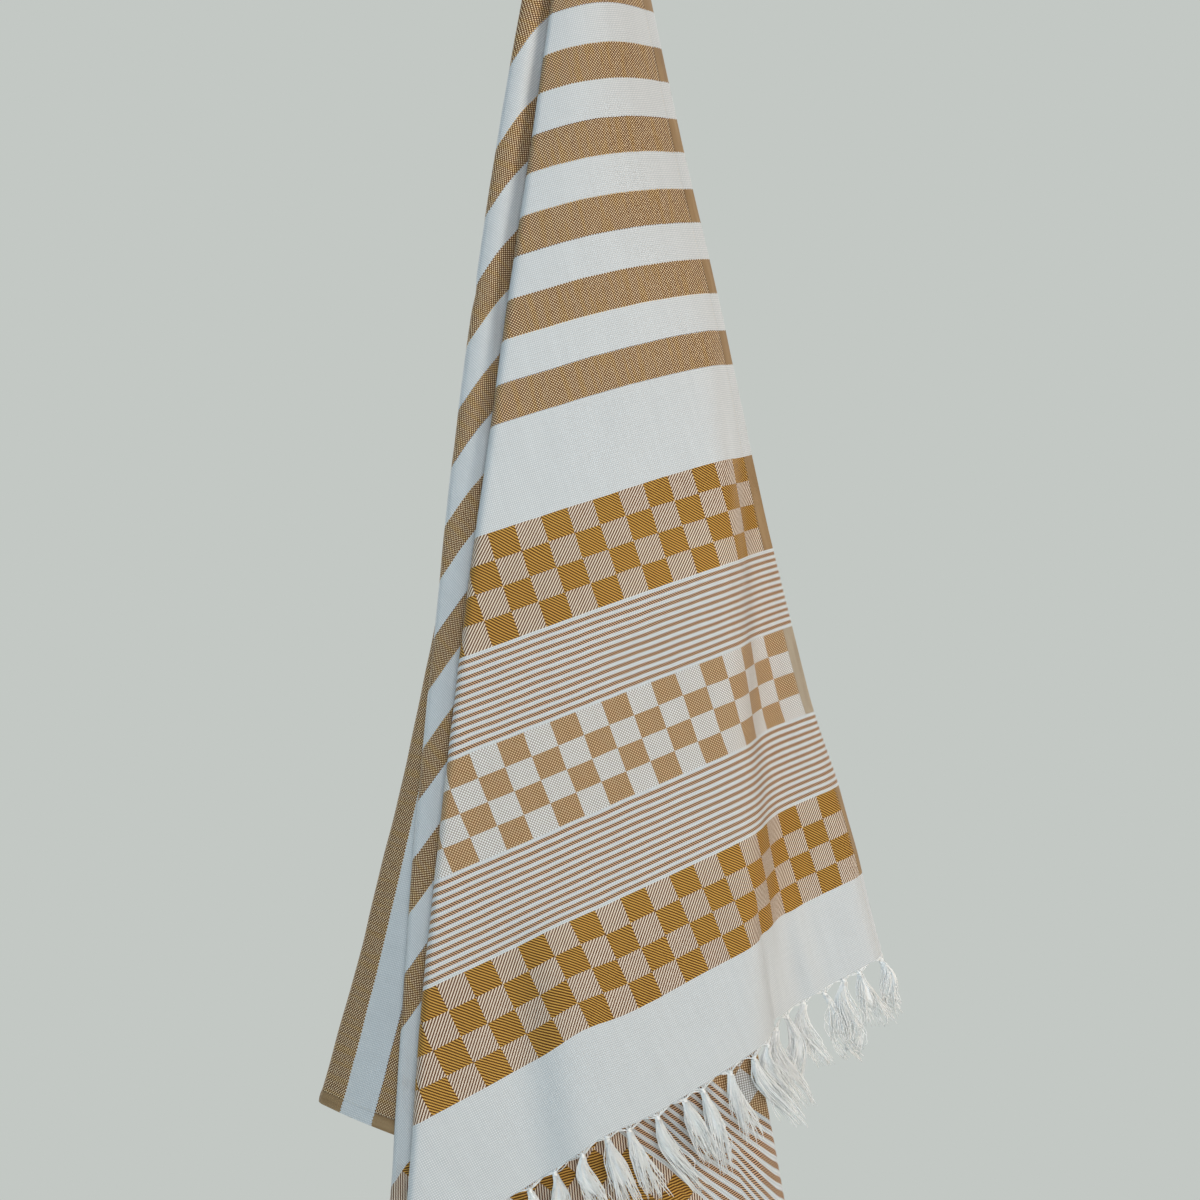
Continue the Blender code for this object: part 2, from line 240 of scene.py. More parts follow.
# ---------------------------------------------------------------- tassel sizes
# A pair is a random range, and a value called spread is the width of a random bell curve
SEED = 11
TASSEL_PITCH = 0.020
TASSEL_OFF_PITCH = 0.18
TASSEL_LENGTH = 0.050
TASSEL_LENGTH_SHARE = (0.70, 1.12)
TASSEL_FLATTEN = 0.50
SPLAY = 0.32
SPLAY_SPREAD = 0.17
START_ALONG_CLOTH = 0.35
SWAY_SPREAD = 0.0034
SWAY_WAVES = (1.2, 2.0)
LIFT = (0.0, 0.0025)
TWIST = (-1.1, 1.1)
NECK = 0.0019
FULL_WIDTH = (0.0050, 0.0074)
FULL_AT = 0.45
STRANDS = 50
STRAND_STEPS = 10
STRAND_RADIUS = 0.00042
STRAND_THINNING = 0.45
STRAND_SIDES = 3
STRAND_PLACE = (0.60, 1.10)
STRAND_LENGTH_SHARE = (0.66, 1.06)
CURL_SPREAD = 0.0007
# How strands and strays wave, sideways and in depth, as radians over their length
STRAND_WAVES = (7.0, 6.0)
STRAY_WAVES = (8.0, 5.0)
LOCKS = 6
LOCK_SPREAD = 0.0030
STRAYS = 5
STRAY_RADIUS = 0.7 * STRAND_RADIUS
STRAY_PLACE = (0.5, 1.3)
STRAY_OUT_AT = 0.8
STRAY_LENGTH_SHARE = (0.55, 1.0)
STRAY_SIDE_SPREAD = 0.0022
STRAY_DEPTH_SPREAD = 0.0015
# The closed core inside a tassel: its length as a share, then its width at even steps
CORE_LENGTH = 0.62
CORE_WIDTHS = (0.92, 0.90, 0.84, 0.76, 0.64, 0.46, 0.12)
CORE_SIDES = 10
CORE_SHADE = 0.6
KNOT_BELOW_EDGE = (0.0020, 0.0042)
KNOT_SIZE = (0.0009, 0.0013)
KNOT_TILT = (-0.6, 0.6)
KNOT_YARN = 0.00070
KNOT_PITCH = 0.0010
KNOT_STEPS = 9
KNOT_SIDES = 4
TASSEL_BELOW_KNOT = 0.0008
# The threads that gather from the cloth's edge into each knot
GATHERED = 12
GATHERED_RADIUS = 0.00034
GATHERED_STEPS = 4
GATHERED_SPREAD = 0.0005
EDGE_MARGIN = 0.0005

# ---------------------------------------------------------------- light and camera, as numbers
# A cloth colour is divided by this level, so that its lit look is the colour that is named
LIGHT_LEVEL = 0.77
AMBIENT = (0.115, 0.130, 0.136)
ROOM = (195, 200, 196)
BLACK = (0.0, 0.0, 0.0, 1.0)
PLASTER_DARK = (0.60, 0.62, 0.60, 1.0)
PLASTER_LIGHT = (0.64, 0.66, 0.64, 1.0)
FLOOR_HEIGHT = -1.95
FLOOR_RADIUS = 2.6
FLOOR_FADE_START = 0.3
FLOOR_FADE_FULL = 2.4
# Each row: name, place, size, energy, colour
LAMPS = (
    ("front", (0.25, -2.60, -0.10), 1.0, 28.0, (0.92, 0.955, 1.0)),
    ("window", (-1.55, -1.55, -0.20), 1.0, 9.0, (0.52, 0.82, 1.0)),
    ("lamp", (1.70, -1.40, -0.10), 1.0, 21.5, (1.0, 0.87, 0.73)),
    ("back_left", (1.7, 1.7, 0.0), 1.4, 29.0, (0.95, 0.98, 1.0)),
    ("back_right", (-1.7, 1.7, 0.0), 1.4, 29.0, (1.0, 0.98, 0.95)),
)
LAMP_TARGET = (0.0, 0.0, -0.7)
CAMERA_PLACE = (0.006765, -1.230, -0.612)
LENS = 54.545
SENSOR_WIDTH = 36.0


def ease(value):
    """Smooth 0 to 1 step."""
    value = np.clip(value, 0.0, 1.0)
    return value * value * (3.0 - 2.0 * value)


def rise(value, start, full):
    """Smooth step from 0 at the start to 1 where it is full."""
    return ease((value - start) / (full - start))


def at_radius(values, radius):
    """Smooth curve through the three station values."""
    a, b, c = STATIONS
    r = np.clip(radius, LEAST_RADIUS, GREATEST_RADIUS)
    return (values[0] * (r - b) * (r - c) / ((a - b) * (a - c))
            + values[1] * (r - a) * (r - c) / ((b - a) * (b - c))
            + values[2] * (r - a) * (r - b) / ((c - a) * (c - b)))


def depth_scale(radius):
    """The bunch is thinner near the hang point and opens out in the tails."""
    opened = rise(radius, TAILS_OPEN_START, TAILS_OPEN_FULL)
    filled = ease(radius / FULL_DEPTH_RADIUS)
    return TOP_DEPTH_SHARE + (1.0 - TOP_DEPTH_SHARE) * filled + TAILS_OPEN * opened


def rim_radius(angle, inset):
    """Distance from the hang point to the rim of the flat towel, less a margin."""
    c = np.abs(np.cos(np.radians(angle)))
    s = np.sin(np.radians(angle))
    along = (HALF_LENGTH - inset) / np.maximum(c, 1e-9)
    across = (WIDTH - inset) / np.maximum(s, 1e-9)
    return np.minimum(along, across)


def front_panel(radius, share):
    """Front panel: angle, reach, x and y.

    Share -1 to 0 crosses its hem, and 0 to 1 goes on to where its left side rolls back. Here q
    is the share of the panel's angle, 0 at the rim of the hem and 1 where the roll starts.
    """
    scale = depth_scale(radius)
    roll = FRONT_ROLL * scale
    fold_angle = at_radius(FRONT_FOLD_ANGLE, radius)
    fold_angle = fold_angle - np.degrees(0.5 * math.pi * roll / radius)
    hem = np.degrees(np.arcsin(np.minimum(HEM / radius, FRONT_HEM_MOST))) / fold_angle
    q = np.where(share < 0.0, hem * (1.0 + share), hem + (1.0 - hem) * share)
    angle = q * fold_angle
    reach = radius * (at_radius(EDGE_REACH, radius) * (1.0 - q) + at_radius(FOLD_REACH, radius) * q)

    # The bulged panel, with the step that runs down it.
    strength = rise(radius, STEP_START, STEP_FULL)
    centre = STEP_ANGLE + STEP_ANGLE_PER_METRE * (radius - STATIONS[1])
    past = 0.5 + 0.5 * np.tanh((angle - centre) / STEP_HALF_WIDTH)
    edge_lean = at_radius(FRONT_EDGE_LEAN, radius)
    fold_lean = at_radius(FRONT_FOLD_LEAN, radius) + roll / reach
    bow = at_radius(FRONT_BOW, radius)
    lean = edge_lean + (fold_lean - edge_lean) * (q - bow * q * (1.0 - q))
    lean = lean + strength * STEP_LEAN * (past - q)
    depth = at_radius(FRONT_EDGE_DEPTH, radius) * (1.0 - q)
    depth = depth + at_radius(FRONT_FOLD_DEPTH, radius) * q
    depth = depth - 4.0 * at_radius(FRONT_BULGE, radius) * q * (1.0 - q)
    depth = depth + strength * STEP_DEPTH * (1.0 - past)

    # The flute low down.
    flute = rise(radius, FLUTE_START, FLUTE_FULL)
    beyond = 0.5 + 0.5 * np.tanh((angle - FLUTE_ANGLE) / FLUTE_HALF_WIDTH)
    forward = np.clip((q - FLUTE_RISE_FROM) / (1.0 - FLUTE_RISE_FROM), 0.0, 1.0)
    depth = depth + flute * FLUTE_DEPTH * (beyond - forward)
    lifted = np.exp(-((angle - FLUTE_ANGLE) / FLUTE_LIFT_WIDTH + 1.0) ** 2)
    reach = reach * (1.0 - flute * FLUTE_LIFT * lifted)

    # The hem that curls back low down.
    curl = rise(radius, CURL_START, CURL_FULL)
    over = np.maximum(0.0, CURL_WIDTH - radius * np.radians(angle))
    bend = over / CURL_RADIUS
    lost = rise(radius, CURL_LOSS_START, CURL_LOSS_FULL)
    lean = lean + curl * CURL_LEAN * (1.0 - q) ** 2 * (1.0 - CURL_LEAN_LOST * lost)
    x = lean * reach - curl * (over - CURL_RADIUS * np.sin(bend))
    y = 0.001 * depth * scale - roll * q + curl * CURL_RADIUS * (1.0 - np.cos(bend))
    return angle, reach, x, y


def fold_line(index, radius):
    """A fold's angle, x, y, half height of its turn, and side: 1 at the right, -1 at the left.

    Fold 0 is the front panel's, then come FOLDS, and then the back hem.
    """
    scale = depth_scale(radius)
    reach = radius * at_radius(FOLD_REACH, radius)
    if index == 0:
        return (at_radius(FRONT_FOLD_ANGLE, radius), at_radius(FRONT_FOLD_LEAN, radius) * reach,
                0.001 * at_radius(FRONT_FOLD_DEPTH, radius) * scale, FRONT_TURN * scale, -1.0)
    if index > LAST_PANEL:
        side, angle, lean, place, turn = 1.0, 180.0, BACK_EDGE_LEAN, BACK_EDGE_PLACE, 0.0
    else:
        name, angles, lean, place, turn = FOLDS[index - 1]
        side = 1.0 if name == "right" else -1.0
        angle = at_radius(angles, radius)
        if index == 1:
            angle = angle - FIRST_FOLD_BACK * ease((radius - STATIONS[-1]) / FIRST_FOLD_BACK_OVER)
    lean = at_radius(lean, radius)
    depth = place + STACK_SLANT * (lean - STACK_LEAN)
    return angle, lean * reach, 0.001 * depth * scale, 0.001 * turn * scale, side


def tail_room(radius, x):
    """How far a spot lies to the left of the front panel's fold."""
    return np.maximum(0.0, fold_line(0, radius)[1] - x)


def tail_length(room):
    """How much longer the swung-back cloth is than its width seen from the front."""
    slope = TAIL_SWING + TAIL_CURVE * room
    return room * (np.sqrt(1.0 + slope * slope) - 1.0)


def hidden_panel(index, zone, radius, share):
    """Panel behind the front one: angle, reach, x and y.

    The zone "in" turns from the fold that has the panel's index, "run" crosses the bunch and
    "out" turns to the next fold. In the last panel's run, share 1 to 2 crosses the back hem.
    """
    angle_a, xa, ya, turn_a, side_a = fold_line(index, radius)
    angle_b, xb, yb, turn_b, side_b = fold_line(index + 1, radius)
    start_x, start_y = xa - side_a * turn_a, ya + turn_a
    end_x, end_y = xb - side_b * turn_b, yb - turn_b
    arc_a = 0.5 * math.pi * turn_a
    arc_b = 0.5 * math.pi * turn_b
    run = np.hypot(end_x - start_x, end_y - start_y)
    extra_start = tail_length(tail_room(radius, start_x))
    extra_end = tail_length(tail_room(radius, end_x))
    whole = arc_a + run + np.abs(extra_end - extra_start) + arc_b
    bend = 0.5 * math.pi * share
    if zone == "in":
        length = arc_a * share
        x = xa - side_a * turn_a * (1.0 - np.cos(bend))
        y = ya + turn_a * np.sin(bend)
    elif zone == "out":
        length = whole - arc_b * (1.0 - share)
        x = xb - side_b * turn_b * (1.0 - np.sin(bend))
        y = yb - turn_b * np.cos(bend)
    else:
        if index == LAST_PANEL:
            sine = np.minimum(HEM / radius, BACK_HEM_MOST)
            hem_angle = 180.0 - np.degrees(np.arcsin(sine))
            hem = ((hem_angle - angle_a) / (angle_b - angle_a) * whole - arc_a) / run
            share = np.where(share > 1.0, hem + (1.0 - hem) * (share - 1.0), hem * share)
        x = start_x + (end_x - start_x) * share
        y = start_y + (end_y - start_y) * share
        extra = tail_length(tail_room(radius, x))
        length = arc_a + run * share + np.abs(extra - extra_start)
    room = tail_room(radius, x)
    y = y + TAIL_SWING * room + TAIL_CURVE * room * room
    step = TAIL_STEP * rise(radius, TAIL_STEP_START, TAIL_STEP_FULL)
    low = rise(radius, TAIL_STEP_LOSS_START, TAIL_STEP_LOSS_FULL)
    step = step * (1.0 - TAIL_STEP_LOST * low)
    width = TAIL_STEP_WIDTH * (1.0 - TAIL_STEP_WIDTH_LOST * low)
    y = y - step * (1.0 - np.exp(-(room / width) ** 2))
    reach = radius * at_radius(FOLD_REACH, radius) * (1.0 + TAIL_DROP * room)
    return angle_a + (angle_b - angle_a) * length / whole, reach, x, y


def front_turn(radius, share):
    """The front panel's left side, rolled back to its fold: angle, reach, x and y."""
    angle, x, y, _, side = fold_line(0, radius)
    roll = FRONT_ROLL * depth_scale(radius)
    bend = 0.5 * math.pi * share
    angle = angle - np.degrees(0.5 * math.pi * roll / radius) * (1.0 - share)
    return (angle, radius * at_radius(FOLD_REACH, radius),
            x - side * roll * (1.0 - np.sin(bend)), y - roll * np.cos(bend))


def corner_places():
    """Panel, and share of its flat run, where each far corner of the towel comes."""
    diagonal = math.hypot(WIDTH, HALF_LENGTH)
    front_corner = math.degrees(math.atan2(WIDTH, HALF_LENGTH))
    places = {}
    for corner in (front_corner, 180.0 - front_corner):
        for index in range(LAST_PANEL + 1):
            low, xa, ya, turn_a, side_a = fold_line(index, diagonal)
            high, xb, yb, turn_b, side_b = fold_line(index + 1, diagonal)
            if low < corner <= high:
                run = math.hypot(xb - side_b * turn_b - xa + side_a * turn_a,
                                 yb - turn_b - ya - turn_a)
                arc_a = 0.5 * math.pi * turn_a
                whole = arc_a + run + 0.5 * math.pi * turn_b
                places[index] = ((corner - low) / (high - low) * whole - arc_a) / run
    return places


def cloth_columns():
    """Every mesh column in order: (panel, zone, share)."""
    columns = [("front", "run", s) for s in np.linspace(-1.0, 0.0, HEM_COLUMNS + 1)[:-1]]
    columns += [("front", "run", s) for s in np.linspace(0.0, 1.0, FRONT_COLUMNS + 1)]
    turns = np.arange(1, TURN_COLUMNS + 1) / TURN_COLUMNS
    rolled = np.arange(1, ROLL_COLUMNS + 1) / ROLL_COLUMNS
    columns += [("front", "out", s) for s in rolled]
    corners = corner_places()
    for index in range(LAST_PANEL + 1):
        columns += [(index, "in", s) for s in turns]
        run_columns = SEEN_RUN_COLUMNS if index in SEEN_PANELS else RUN_COLUMNS
        steps = list(np.arange(1, run_columns + 1) / run_columns)
        if index in corners:
            nearest = min(range(run_columns - 1), key=lambda i: abs(steps[i] - corners[index]))
            steps[nearest] = corners[index]
        columns += [(index, "run", s) for s in steps]
        if index < LAST_PANEL:
            columns += [(index, "out", s) for s in turns]
    columns += [(LAST_PANEL, "run", 1.0 + s) for s in np.arange(1, HEM_COLUMNS + 1) / HEM_COLUMNS]
    return columns


def trip(radius, columns):
    """Angle, reach, x and y of every column at these radii, rows by columns."""
    found = np.empty((4, *radius.shape))
    kinds = sorted({column[:2] for column in columns}, key=str)
    for panel, zone in kinds:
        chosen = [i for i, column in enumerate(columns) if column[:2] == (panel, zone)]
        share = np.array([columns[i][2] for i in chosen])
        here = radius[:, chosen]
        if panel != "front":
            found[:, :, chosen] = hidden_panel(panel, zone, here, share)
        elif zone == "run":
            found[:, :, chosen] = front_panel(here, share)
        else:
            found[:, :, chosen] = front_turn(here, share)
    return found


def cloth_grid(columns):
    """Flat place (across, along) and position of every mesh point, rows by columns."""
    share = np.linspace(0.0, 1.0, MAIN_ROWS + 1)[:, None]
    share = np.vstack([share, np.ones((HEM_COLUMNS, 1))])
    inset = np.full((len(share), 1), HEM)
    inset[MAIN_ROWS:, 0] = np.linspace(HEM, 0.0, HEM_COLUMNS + 1)
    radius = np.full((len(share), len(columns)), FIRST_RADIUS)
    for _ in range(GRID_PASSES):
        angle = trip(radius, columns)[0]
        radius = TOP_RADIUS + (rim_radius(angle, inset) - TOP_RADIUS) * share
    angle, reach, x, y = trip(radius, columns)
    drawn_up = TOP_DRAWN_UP * (1.0 - ease((reach - TOP_RADIUS) / TOP_DRAWN_OVER))
    z = drawn_up - np.sqrt(np.maximum(reach * reach - x * x - y * y, 1e-8))
    strength = rise(angle, *RIPPLE_ANGLES) * rise(radius, RIPPLE_START, RIPPLE_FULL)
    strength = strength * (1.0 - ease(tail_room(radius, x) / RIPPLE_ROOM))
    ripple = strength * np.sin(2.0 * math.pi * (x + RIPPLE_SLANT * z) / RIPPLE_LENGTH)
    z = z + RIPPLE_RISE * ripple
    y = y + RIPPLE_DEPTH * ripple
    flat = np.stack([radius * np.sin(np.radians(angle)), radius * np.cos(np.radians(angle))], -1)
    return flat, np.stack([x, y, z], -1)


def grid_normals(points):
    """Unit normals of the grid, facing the wall on the front panel."""
    down = np.gradient(points, axis=0)
    sideways = np.gradient(points, axis=1)
    normal = np.cross(down, sideways)
    return normal / np.maximum(np.linalg.norm(normal, axis=-1, keepdims=True), 1e-12)


def bump_along(flat, start, end, width, height):
    """Height of a soft ridge along a line between two flat places."""
    start = np.array(start)
    run = np.array(end) - start
    length = np.linalg.norm(run)
    run = run / length
    off = flat - start
    t = off @ run
    side = off @ np.array([-run[1], run[0]])
    fade_run = CREASE_FADE * length
    fade = ease(t / fade_run + 0.5) * ease((length - t) / fade_run + 0.5)
    return height * fade * np.exp(-(side / width) ** 2)


def relief(flat):
    """Small unevenness of the cloth, in metres along its normal."""
    across, along = flat[..., 0], flat[..., 1]
    radius = np.hypot(across, along)
    soft = rise(radius, WAVES_START, WAVES_FULL)
    wave = 0.0
    for height, *sines in WAVES:
        one, other = (np.sin(a * across + b * along + start) for a, b, start in sines)
        wave = wave + height * one * other
    creases = sum(bump_along(flat, *crease) for crease in CREASES)
    return 0.001 * soft * wave + creases


def cloth_mesh(name, flat, points):
    """Closed sheet: the grid offset to both sides, joined round its rim."""
    points = points + grid_normals(points) * relief(flat)[..., None]
    normals = grid_normals(points)
    rows, wide = points.shape[:2]
    near_edge = np.minimum(flat[..., 0], WIDTH - flat[..., 0])
    half = np.where(near_edge < HEM - CLOSE, HEM_HALF_THICK, HALF_THICK)
    half = np.where(near_edge < CLOSE, HEM_RIM_SHARE * HEM_HALF_THICK, half)
    near_end = HALF_LENGTH - np.abs(flat[..., 1])
    half = half * (END_THIN_SHARE + (1.0 - END_THIN_SHARE) * ease(near_end / END_TAPER))
    outer = points + normals * half[..., None]
    inner = points - normals * half[..., None]
    vertices = np.concatenate([outer.reshape(-1, 3), inner.reshape(-1, 3)])
    index = np.arange(rows * wide).reshape(rows, wide)
    quads = np.stack([index[:-1, :-1], index[1:, :-1], index[1:, 1:], index[:-1, 1:]], -1)
    quads = quads.reshape(-1, 4)
    back = quads[:, [0, 3, 2, 1]] + rows * wide
    ring = np.concatenate([index[0, :-1], index[:-1, -1], index[-1, :0:-1], index[:0:-1, 0]])
    after = np.roll(ring, -1)
    rim = np.stack([ring, after, after + rows * wide, ring + rows * wide], -1)
    faces = np.concatenate([quads, back, rim])
    mesh = bpy.data.meshes.new(name)
    mesh.from_pydata(vertices.tolist(), [], faces.tolist())
    mesh.update()
    mesh.polygons.foreach_set("use_smooth", np.ones(len(faces), bool))
    add_maps(mesh, flat.reshape(-1, 2), faces.reshape(-1))
    mesh.set_sharp_from_angle(angle=math.radians(SHARP_DEGREES))
    return mesh


def add_maps(mesh, flat, corners):
    """The flat map that the weave reads, and one with both sides of the cloth side by side."""
    own = flat[corners % len(flat)]
    flat_map = mesh.uv_layers.new(name="flat")
    flat_map.data.foreach_set("uv", own.astype(np.float32).ravel())
    across = own[:, 0] / WIDTH
    along = (own[:, 1] + HALF_LENGTH) / (2.0 * HALF_LENGTH)
    other_side = corners >= len(flat)
    sheet = np.stack([BAKE_MARGIN + (0.5 - 2.0 * BAKE_MARGIN) * across + 0.5 * other_side,
                      BAKE_MARGIN + (1.0 - 2.0 * BAKE_MARGIN) * along], -1)
    bake_map = mesh.uv_layers.new(name="OFBake")
    bake_map.data.foreach_set("uv", sheet.astype(np.float32).ravel())
    mesh.uv_layers.active = flat_map


# ---------------------------------------------------------------- tassels
def end_edge(flat, points, front):
    """Along one end of the towel: distance from the hung selvedge, position, way down."""
    last = flat[-1]
    chosen = last[:, 1] > HALF_LENGTH - CLOSE if front else last[:, 1] < CLOSE - HALF_LENGTH
    order = np.argsort(last[chosen, 0])
    across = last[chosen, 0][order]
    place = points[-1][chosen][order]
    down = (points[-1] - points[-1 - END_ROWS])[chosen][order]
    return across, place, down / np.linalg.norm(down, axis=1, keepdims=True)


def at_edge(edge, across):
    """Position and way down at one distance along the end."""
    where = [np.interp(across, edge[0], edge[1][:, k]) for k in range(3)]
    way = np.array([np.interp(across, edge[0], edge[2][:, k]) for k in range(3)])
    return np.array(where), way / np.linalg.norm(way)


def tube(path, radii, sides, flatten=1.0):
    """Vertices and faces of a tube along a path, closed by its tips."""
    path = np.asarray(path)
    ahead = np.gradient(path, axis=0)
    ahead /= np.linalg.norm(ahead, axis=1, keepdims=True)
    across = np.cross(ahead, (0.0, 1.0, 0.0))
    across /= np.maximum(np.linalg.norm(across, axis=1, keepdims=True), 1e-9)
    third = flatten * np.cross(ahead, across)
    turn = 2.0 * math.pi * np.arange(sides) / sides
    ring = (across[:, None] * np.cos(turn)[None, :, None]
            + third[:, None] * np.sin(turn)[None, :, None])
    vertices = (path[:, None] + ring * np.asarray(radii)[:, None, None]).reshape(-1, 3)
    faces = []
    for i in range(len(path) - 1):
        for k in range(sides):
            a, b = i * sides + k, i * sides + (k + 1) % sides
            faces.append((a, b, b + sides, a + sides))
    faces.append(tuple(range(sides))[::-1])
    last = (len(path) - 1) * sides
    faces.append(tuple(last + k for k in range(sides)))
    return vertices, faces


class Heap:
    """Many small pieces gathered into one mesh, each with its own shade."""

    def __init__(self):
        self.vertices = []
        self.faces = []
        self.shades = []
        self.count = 0

    def add(self, vertices, faces, shade):
        self.vertices.append(vertices)
        self.faces += [tuple(i + self.count for i in face) for face in faces]
        self.shades += [shade] * len(vertices)
        self.count += len(vertices)

    def mesh(self, name):
        mesh = bpy.data.meshes.new(name)
        mesh.from_pydata(np.concatenate(self.vertices).tolist(), [], self.faces)
        mesh.update()
        mesh.polygons.foreach_set("use_smooth", np.ones(len(self.faces), bool))
        shade = mesh.attributes.new("shade", "FLOAT", "POINT")
        shade.data.foreach_set("value", np.array(self.shades, np.float32))
        return mesh


def knot(heap, rng, centre, way):
    """Three turns of yarn pulled tight round the gathered threads."""
    side = np.cross(way, (0.0, 1.0, 0.0))
    side /= np.linalg.norm(side)
    front = np.cross(side, way)
    turn = np.linspace(0.0, 2.0 * math.pi, KNOT_STEPS)
    for step in (-1.0, 0.0, 1.0):
        tilt = rng.uniform(*KNOT_TILT)
        size = rng.uniform(*KNOT_SIZE)
        path = (centre + KNOT_PITCH * step * way
                + size * (np.outer(np.cos(turn), side + tilt * way)
                          + np.outer(np.sin(turn), front)))
        heap.add(*tube(path, np.full(KNOT_STEPS, KNOT_YARN), KNOT_SIDES), rng.uniform(0.3, 0.9))


def tassel(heap, rng, start, way, length, splay):
    """Loose strands from a knot, full in the middle and parting at the tips."""
    fall = np.array([splay, 0.0, -1.0])
    fall /= np.linalg.norm(fall)
    sway = rng.normal(0.0, SWAY_SPREAD)
    lift = rng.uniform(*LIFT)
    twist = rng.uniform(*TWIST)
    s = np.linspace(0.0, 1.0, STRAND_STEPS)
    first = START_ALONG_CLOTH * way + (1.0 - START_ALONG_CLOTH) * fall
    spine = start + length * (np.outer(s - 0.5 * s ** 2, first) + np.outer(0.5 * s ** 2, fall))
    spine[:, 0] += sway * np.sin(rng.uniform(*SWAY_WAVES) * math.pi * s)
    spine[:, 1] -= lift * np.sin(math.pi * s)
    full = rng.uniform(*FULL_WIDTH)
    width = NECK + (full - NECK) * ease(s / FULL_AT)
    inner = np.linspace(0.0, CORE_LENGTH, len(CORE_WIDTHS))
    core = np.stack([np.interp(inner, s, spine[:, k]) for k in range(3)], -1)
    core_size = np.interp(inner, s, width) * CORE_WIDTHS
    heap.add(*tube(core, core_size, CORE_SIDES, flatten=TASSEL_FLATTEN), CORE_SHADE)
    locks = rng.normal(0.0, LOCK_SPREAD, LOCKS)
    for _ in range(STRANDS):
        direction = rng.uniform(0.0, 2.0 * math.pi)
        out = rng.uniform(*STRAND_PLACE)
        lock = locks[int(direction / (2.0 * math.pi) * LOCKS)]
        own = rng.uniform(*STRAND_LENGTH_SHARE)
        curl = rng.normal(0.0, CURL_SPREAD)
        phase = rng.uniform(0.0, 2.0 * math.pi)
        turn = direction + twist * s
        path = start + (spine - start) * own
        tip = s ** 2
        aside = curl * np.sin(STRAND_WAVES[0] * s + phase) * s
        path[:, 0] += out * width * np.cos(turn) + aside + lock * tip
        path[:, 1] += TASSEL_FLATTEN * out * width * np.sin(turn)
        path[:, 1] += 0.5 * curl * np.cos(STRAND_WAVES[1] * s + phase) * s
        radii = STRAND_RADIUS * (1.0 - STRAND_THINNING * s ** 3)
        heap.add(*tube(path, radii, STRAND_SIDES), rng.uniform(0.0, 1.0))
    for _ in range(STRAYS):
        side = rng.choice((-1.0, 1.0)) * rng.uniform(*STRAY_PLACE) * full
        own = rng.uniform(*STRAY_LENGTH_SHARE)
        phase = rng.uniform(0.0, 2.0 * math.pi)
        path = start + (spine - start) * own
        bend = rng.normal(0.0, STRAY_SIDE_SPREAD)
        path[:, 0] += side * ease(s / STRAY_OUT_AT)
        path[:, 0] += bend * s * np.sin(STRAY_WAVES[0] * s + phase)
        bend = rng.normal(0.0, STRAY_DEPTH_SPREAD)
        path[:, 1] += bend * np.sin(STRAY_WAVES[1] * s + phase) - 0.5 * width
        radii = np.full(len(s), STRAY_RADIUS)
        heap.add(*tube(path, radii, STRAND_SIDES), rng.uniform(0.2, 1.0))


def fringe_mesh(name, edge, seed):
    """All the tassels of one end, with the threads that gather into each knot."""
    rng = np.random.default_rng(seed)
    heap = Heap()
    count = round(WIDTH / TASSEL_PITCH)
    pitch = WIDTH / count
    for number in range(count):
        middle = (number + 0.5 + rng.uniform(-TASSEL_OFF_PITCH, TASSEL_OFF_PITCH)) * pitch
        place, way = at_edge(edge, middle)
        centre = place + way * rng.uniform(*KNOT_BELOW_EDGE)
        for side in np.linspace(-0.5, 0.5, GATHERED):
            across = np.clip(middle + side * pitch, EDGE_MARGIN, WIDTH - EDGE_MARGIN)
            spot, _ = at_edge(edge, across)
            s = np.linspace(0.0, 1.0, GATHERED_STEPS)
            path = spot * (1.0 - s)[:, None] + centre * s[:, None]
            path += np.outer(np.sin(math.pi * s), rng.normal(0.0, GATHERED_SPREAD, 3))
            heap.add(*tube(path, np.full(len(s), GATHERED_RADIUS), STRAND_SIDES),
                     rng.uniform(0.2, 0.8))
        knot(heap, rng, centre, way)
        length = TASSEL_LENGTH * rng.uniform(*TASSEL_LENGTH_SHARE)
        start = centre + TASSEL_BELOW_KNOT * way
        tassel(heap, rng, start, way, length, rng.normal(SPLAY, SPLAY_SPREAD))
    return heap.mesh(name)


# ---------------------------------------------------------------- node helpers
def linear(colour):
    """Display colour 0-255 to the linear colour that a shader takes."""
    return tuple((c / 255.0 / 12.92 if c <= 10 else ((c / 255.0 + 0.055) / 1.055) ** 2.4)
                 for c in colour)


def cotton(red, green, blue):
    """Cloth colour whose lit look is about this display colour."""
    return tuple(min(0.95, c / LIGHT_LEVEL) for c in linear((red, green, blue))) + (1.0,)


